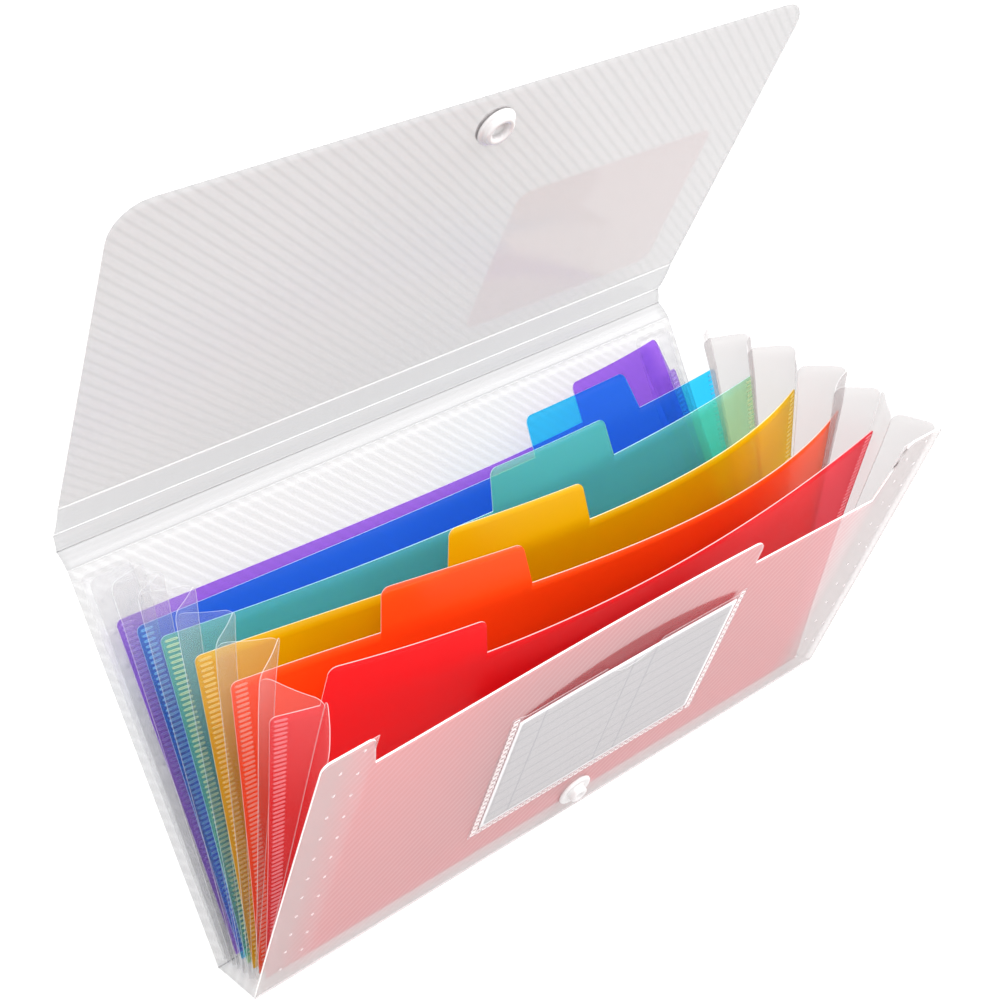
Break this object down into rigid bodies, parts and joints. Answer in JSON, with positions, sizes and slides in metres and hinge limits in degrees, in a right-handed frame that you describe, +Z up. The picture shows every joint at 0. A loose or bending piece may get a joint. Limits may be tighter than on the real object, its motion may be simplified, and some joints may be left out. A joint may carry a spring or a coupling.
{
  "type": "accordion file folder",
  "caption": "Translucent expanding file with coloured tabbed dividers, pleated end gussets, a folding lid with a press snap and a card pocket on the front.",
  "frame": {"origin": "centre of the underside of the base panel, where the folder stands", "axes": "+X to the right along the base, +Y to the back where the lid is hinged, +Z up"},
  "size_m": [0.26, 0.1337, 0.2539],
  "materials": {
    "cover": "frosted translucent sheet with fine slanted lines",
    "gusset": "clear frosted sheet",
    "purple": "translucent satin sheet",
    "blue": "translucent satin sheet",
    "green": "translucent satin sheet",
    "yellow": "translucent satin sheet",
    "orange": "translucent satin sheet",
    "red": "translucent satin sheet",
    "snap": "glossy white",
    "film": "clear film",
    "card": "uncoated card with faint ruled lines"
  },
  "bodies": {
    "base": {"base_panel": "cover"},
    "back": {"back_panel": "cover", "weld_strip_back_left": "gusset", "weld_strip_back_right": "gusset"},
    "front": {"front_panel": "cover", "weld_strip_front_left": "gusset", "weld_strip_front_right": "gusset", "snap_stud": "snap", "snap_stud_cap": "snap", "card_pocket": "film"},
    "card": {"index_card": "card"},
    "strip_rear": {"fold_strip_rear": "cover"},
    "strip_mid": {"fold_strip_mid": "cover"},
    "strip_top": {"fold_strip_top": "cover"},
    "flap": {"flap": "cover", "snap_socket": "snap", "snap_socket_cap": "snap"},
    "divider_purple": {"divider_purple": "purple"},
    "divider_blue": {"divider_blue": "blue"},
    "divider_green": {"divider_green": "green"},
    "divider_yellow": {"divider_yellow": "yellow"},
    "divider_orange": {"divider_orange": "orange"},
    "divider_red": {"divider_red": "red"},
    "gusset_left_7_rear": {"gusset_left_7_rear": "gusset"},
    "gusset_left_7_front": {"gusset_left_7_front": "gusset"},
    "gusset_left_6_rear": {"gusset_left_6_rear": "gusset"},
    "gusset_left_6_front": {"gusset_left_6_front": "gusset"},
    "gusset_left_5_rear": {"gusset_left_5_rear": "gusset"},
    "gusset_left_5_front": {"gusset_left_5_front": "gusset"},
    "gusset_left_4_rear": {"gusset_left_4_rear": "gusset"},
    "gusset_left_4_front": {"gusset_left_4_front": "gusset"},
    "gusset_left_3_rear": {"gusset_left_3_rear": "gusset"},
    "gusset_left_3_front": {"gusset_left_3_front": "gusset"},
    "gusset_left_2_rear": {"gusset_left_2_rear": "gusset"},
    "gusset_left_2_front": {"gusset_left_2_front": "gusset"},
    "gusset_left_1_rear": {"gusset_left_1_rear": "gusset"},
    "gusset_left_1_front": {"gusset_left_1_front": "gusset"},
    "gusset_right_7_rear": {"gusset_right_7_rear": "gusset"},
    "gusset_right_7_front": {"gusset_right_7_front": "gusset"},
    "gusset_right_6_rear": {"gusset_right_6_rear": "gusset"},
    "gusset_right_6_front": {"gusset_right_6_front": "gusset"},
    "gusset_right_5_rear": {"gusset_right_5_rear": "gusset"},
    "gusset_right_5_front": {"gusset_right_5_front": "gusset"},
    "gusset_right_4_rear": {"gusset_right_4_rear": "gusset"},
    "gusset_right_4_front": {"gusset_right_4_front": "gusset"},
    "gusset_right_3_rear": {"gusset_right_3_rear": "gusset"},
    "gusset_right_3_front": {"gusset_right_3_front": "gusset"},
    "gusset_right_2_rear": {"gusset_right_2_rear": "gusset"},
    "gusset_right_2_front": {"gusset_right_2_front": "gusset"},
    "gusset_right_1_rear": {"gusset_right_1_rear": "gusset"},
    "gusset_right_1_front": {"gusset_right_1_front": "gusset"}
  },
  "joints": [
    {"name": "fan", "type": "hinge", "parent": "base", "child": "back", "pos_m": [0, 0.01015, 0.0003], "axis": [1, 0, 0], "range_deg": [-2.62, 17.5]},
    {"name": "divider_purple_tilt", "type": "hinge", "parent": "base", "child": "divider_purple", "pos_m": [0, 0.00725, 0.0003], "axis": [1, 0, 0], "range_deg": [-2.6, 17.08]},
    {"name": "divider_blue_tilt", "type": "hinge", "parent": "base", "child": "divider_blue", "pos_m": [0, 0.00435, 0.0003], "axis": [1, 0, 0], "range_deg": [-1.98, 12.9]},
    {"name": "divider_green_tilt", "type": "hinge", "parent": "base", "child": "divider_green", "pos_m": [0, 0.00145, 0.0003], "axis": [1, 0, 0], "range_deg": [-0.94, 5.97]},
    {"name": "divider_yellow_tilt", "type": "hinge", "parent": "base", "child": "divider_yellow", "pos_m": [0, -0.00145, 0.0003], "axis": [1, 0, 0], "range_deg": [-1.38, 0.25]},
    {"name": "divider_orange_tilt", "type": "hinge", "parent": "base", "child": "divider_orange", "pos_m": [0, -0.00435, 0.0003], "axis": [1, 0, 0], "range_deg": [-8.52, 1.32]},
    {"name": "divider_red_tilt", "type": "hinge", "parent": "base", "child": "divider_red", "pos_m": [0, -0.00725, 0.0003], "axis": [1, 0, 0], "range_deg": [-14.64, 2.24]},
    {"name": "front_tilt", "type": "hinge", "parent": "base", "child": "front", "pos_m": [0, -0.01015, 0.0003], "axis": [1, 0, 0], "range_deg": [-24.02, 3.65]},
    {"name": "gusset_left_7_rear_fold", "type": "hinge", "parent": "divider_red", "child": "gusset_left_7_rear", "pos_m": [-0.124, -0.00778, 0.00014], "axis": [0, -0.289, 0.9573], "range_deg": [-7.93, 52.56]},
    {"name": "gusset_left_7_front_fold", "type": "hinge", "parent": "front", "child": "gusset_left_7_front", "pos_m": [-0.1275, -0.00941, 0.00067], "axis": [0, -0.454, 0.891], "range_deg": [-50.69, 7.65]},
    {"name": "gusset_left_6_rear_fold", "type": "hinge", "parent": "divider_orange", "child": "gusset_left_6_rear", "pos_m": [-0.124, -0.00489, 0.00021], "axis": [0, -0.1702, 0.9854], "range_deg": [-3.15, 20.69]},
    {"name": "gusset_left_6_front_fold", "type": "hinge", "parent": "gusset_left_7_rear", "child": "gusset_left_6_front", "pos_m": [-0.12594, -0.00487, 0.00102], "axis": [0, -0.289, 0.9573], "range_deg": [-78.1, 11.76]},
    {"name": "gusset_left_5_rear_fold", "type": "hinge", "parent": "divider_yellow", "child": "gusset_left_5_rear", "pos_m": [-0.124, -0.002, 0.00028], "axis": [0, -0.0314, 0.9995], "range_deg": [-5.37, 35.48]},
    {"name": "gusset_left_5_front_fold", "type": "hinge", "parent": "gusset_left_6_rear", "child": "gusset_left_5_front", "pos_m": [-0.12722, -0.0033, 0.00048], "axis": [0, -0.1702, 0.9854], "range_deg": [-50.09, 7.55]},
    {"name": "gusset_left_4_rear_fold", "type": "hinge", "parent": "divider_green", "child": "gusset_left_4_rear", "pos_m": [-0.124, 0.0009, 0.00036], "axis": [0, 0.1097, 0.994], "range_deg": [-5, 33.05]},
    {"name": "gusset_left_4_front_fold", "type": "hinge", "parent": "gusset_left_5_rear", "child": "gusset_left_4_front", "pos_m": [-0.12671, 0.00037, 0.00036], "axis": [0, -0.0314, 0.9995], "range_deg": [-65.13, 9.81]},
    {"name": "gusset_left_3_rear_fold", "type": "hinge", "parent": "divider_blue", "child": "gusset_left_3_rear", "pos_m": [-0.124, 0.00382, 0.00043], "axis": [0, 0.2436, 0.9699], "range_deg": [-4.83, 31.92]},
    {"name": "gusset_left_3_front_fold", "type": "hinge", "parent": "gusset_left_4_rear", "child": "gusset_left_3_front", "pos_m": [-0.12683, 0.00311, 0.00012], "axis": [0, 0.1097, 0.994], "range_deg": [-60.13, 9.06]},
    {"name": "gusset_left_2_rear_fold", "type": "hinge", "parent": "divider_purple", "child": "gusset_left_2_rear", "pos_m": [-0.124, 0.00673, 0.00048], "axis": [0, 0.3289, 0.9444], "range_deg": [-2.3, 15.05]},
    {"name": "gusset_left_2_front_fold", "type": "hinge", "parent": "gusset_left_3_rear", "child": "gusset_left_2_front", "pos_m": [-0.12688, 0.00592, -0.00009], "axis": [0, 0.2436, 0.9699], "range_deg": [-46.99, 7.09]},
    {"name": "gusset_left_1_rear_fold", "type": "hinge", "parent": "back", "child": "gusset_left_1_rear", "pos_m": [-0.1275, 0.00938, 0.0006], "axis": [0, 0.3584, 0.9336], "range_deg": [-0.22, 1.19]},
    {"name": "gusset_left_1_front_fold", "type": "hinge", "parent": "gusset_left_2_rear", "child": "gusset_left_1_front", "pos_m": [-0.12735, 0.00797, 0.00005], "axis": [0, 0.3289, 0.9444], "range_deg": [-17, 2.59]},
    {"name": "gusset_right_7_rear_fold", "type": "hinge", "parent": "divider_red", "child": "gusset_right_7_rear", "pos_m": [0.124, -0.00778, 0.00014], "axis": [0, -0.289, 0.9573], "range_deg": [-52.56, 7.93]},
    {"name": "gusset_right_7_front_fold", "type": "hinge", "parent": "front", "child": "gusset_right_7_front", "pos_m": [0.1275, -0.00941, 0.00067], "axis": [0, -0.454, 0.891], "range_deg": [-7.65, 50.69]},
    {"name": "gusset_right_6_rear_fold", "type": "hinge", "parent": "divider_orange", "child": "gusset_right_6_rear", "pos_m": [0.124, -0.00489, 0.00021], "axis": [0, -0.1702, 0.9854], "range_deg": [-20.69, 3.15]},
    {"name": "gusset_right_6_front_fold", "type": "hinge", "parent": "gusset_right_7_rear", "child": "gusset_right_6_front", "pos_m": [0.12594, -0.00487, 0.00102], "axis": [0, -0.289, 0.9573], "range_deg": [-11.76, 78.1]},
    {"name": "gusset_right_5_rear_fold", "type": "hinge", "parent": "divider_yellow", "child": "gusset_right_5_rear", "pos_m": [0.124, -0.002, 0.00028], "axis": [0, -0.0314, 0.9995], "range_deg": [-35.48, 5.37]},
    {"name": "gusset_right_5_front_fold", "type": "hinge", "parent": "gusset_right_6_rear", "child": "gusset_right_5_front", "pos_m": [0.12722, -0.0033, 0.00048], "axis": [0, -0.1702, 0.9854], "range_deg": [-7.55, 50.09]},
    {"name": "gusset_right_4_rear_fold", "type": "hinge", "parent": "divider_green", "child": "gusset_right_4_rear", "pos_m": [0.124, 0.0009, 0.00036], "axis": [0, 0.1097, 0.994], "range_deg": [-33.05, 5]},
    {"name": "gusset_right_4_front_fold", "type": "hinge", "parent": "gusset_right_5_rear", "child": "gusset_right_4_front", "pos_m": [0.12671, 0.00037, 0.00036], "axis": [0, -0.0314, 0.9995], "range_deg": [-9.81, 65.13]},
    {"name": "gusset_right_3_rear_fold", "type": "hinge", "parent": "divider_blue", "child": "gusset_right_3_rear", "pos_m": [0.124, 0.00382, 0.00043], "axis": [0, 0.2436, 0.9699], "range_deg": [-31.92, 4.83]},
    {"name": "gusset_right_3_front_fold", "type": "hinge", "parent": "gusset_right_4_rear", "child": "gusset_right_3_front", "pos_m": [0.12683, 0.00311, 0.00012], "axis": [0, 0.1097, 0.994], "range_deg": [-9.06, 60.13]},
    {"name": "gusset_right_2_rear_fold", "type": "hinge", "parent": "divider_purple", "child": "gusset_right_2_rear", "pos_m": [0.124, 0.00673, 0.00048], "axis": [0, 0.3289, 0.9444], "range_deg": [-15.05, 2.3]},
    {"name": "gusset_right_2_front_fold", "type": "hinge", "parent": "gusset_right_3_rear", "child": "gusset_right_2_front", "pos_m": [0.12688, 0.00592, -0.00009], "axis": [0, 0.2436, 0.9699], "range_deg": [-7.09, 46.99]},
    {"name": "gusset_right_1_rear_fold", "type": "hinge", "parent": "back", "child": "gusset_right_1_rear", "pos_m": [0.1275, 0.00938, 0.0006], "axis": [0, 0.3584, 0.9336], "range_deg": [-1.19, 0.22]},
    {"name": "gusset_right_1_front_fold", "type": "hinge", "parent": "gusset_right_2_rear", "child": "gusset_right_1_front", "pos_m": [0.12735, 0.00797, 0.00005], "axis": [0, 0.3289, 0.9444], "range_deg": [-2.59, 17]},
    {"name": "lid_fold_rear", "type": "hinge", "parent": "back", "child": "strip_rear", "pos_m": [0, 0.05842, 0.12605], "axis": [1, 0, 0], "range_deg": [-25, 12]},
    {"name": "lid_fold_mid", "type": "hinge", "parent": "strip_rear", "child": "strip_mid", "pos_m": [0, 0.06346, 0.13092], "axis": [1, 0, 0], "range_deg": [-30, 12]},
    {"name": "lid_fold_top", "type": "hinge", "parent": "strip_mid", "child": "strip_top", "pos_m": [0, 0.06334, 0.13661], "axis": [1, 0, 0], "range_deg": [-90, 28]},
    {"name": "lid_fold_flap", "type": "hinge", "parent": "strip_top", "child": "flap", "pos_m": [0, 0.05587, 0.14798], "axis": [1, 0, 0], "range_deg": [-20, 6]},
    {"name": "card_slide", "type": "slide", "parent": "front", "child": "card", "axis": [0, 0.454, -0.891], "range_m": [-0.065, 0]}
  ],
  "couplings": [
    {"joint": "divider_purple_tilt", "follows": "fan", "ratio": 0.95429},
    {"joint": "divider_blue_tilt", "follows": "fan", "ratio": 0.72},
    {"joint": "divider_green_tilt", "follows": "fan", "ratio": 0.33143},
    {"joint": "divider_yellow_tilt", "follows": "fan", "ratio": -0.074286},
    {"joint": "divider_orange_tilt", "follows": "fan", "ratio": -0.47429},
    {"joint": "divider_red_tilt", "follows": "fan", "ratio": -0.81714},
    {"joint": "front_tilt", "follows": "fan", "ratio": -1.3429},
    {"joint": "gusset_left_7_rear_fold", "follows": "fan", "ratio": 2.9416},
    {"joint": "gusset_left_7_front_fold", "follows": "fan", "ratio": -2.8371},
    {"joint": "gusset_left_6_rear_fold", "follows": "fan", "ratio": 1.1563},
    {"joint": "gusset_left_6_front_fold", "follows": "fan", "ratio": -4.3727},
    {"joint": "gusset_left_5_rear_fold", "follows": "fan", "ratio": 1.9849},
    {"joint": "gusset_left_5_front_fold", "follows": "fan", "ratio": -2.8031},
    {"joint": "gusset_left_4_rear_fold", "follows": "fan", "ratio": 1.8488},
    {"joint": "gusset_left_4_front_fold", "follows": "fan", "ratio": -3.6459},
    {"joint": "gusset_left_3_rear_fold", "follows": "fan", "ratio": 1.7855},
    {"joint": "gusset_left_3_front_fold", "follows": "fan", "ratio": -3.3656},
    {"joint": "gusset_left_2_rear_fold", "follows": "fan", "ratio": 0.84015},
    {"joint": "gusset_left_2_front_fold", "follows": "fan", "ratio": -2.6298},
    {"joint": "gusset_left_1_rear_fold", "follows": "fan", "ratio": 0.064077},
    {"joint": "gusset_left_1_front_fold", "follows": "fan", "ratio": -0.94975},
    {"joint": "gusset_right_7_rear_fold", "follows": "fan", "ratio": -2.9416},
    {"joint": "gusset_right_7_front_fold", "follows": "fan", "ratio": 2.8371},
    {"joint": "gusset_right_6_rear_fold", "follows": "fan", "ratio": -1.1563},
    {"joint": "gusset_right_6_front_fold", "follows": "fan", "ratio": 4.3727},
    {"joint": "gusset_right_5_rear_fold", "follows": "fan", "ratio": -1.9849},
    {"joint": "gusset_right_5_front_fold", "follows": "fan", "ratio": 2.8031},
    {"joint": "gusset_right_4_rear_fold", "follows": "fan", "ratio": -1.8488},
    {"joint": "gusset_right_4_front_fold", "follows": "fan", "ratio": 3.6459},
    {"joint": "gusset_right_3_rear_fold", "follows": "fan", "ratio": -1.7855},
    {"joint": "gusset_right_3_front_fold", "follows": "fan", "ratio": 3.3656},
    {"joint": "gusset_right_2_rear_fold", "follows": "fan", "ratio": -0.84015},
    {"joint": "gusset_right_2_front_fold", "follows": "fan", "ratio": 2.6298},
    {"joint": "gusset_right_1_rear_fold", "follows": "fan", "ratio": -0.064077},
    {"joint": "gusset_right_1_front_fold", "follows": "fan", "ratio": 0.94975}
  ]
}
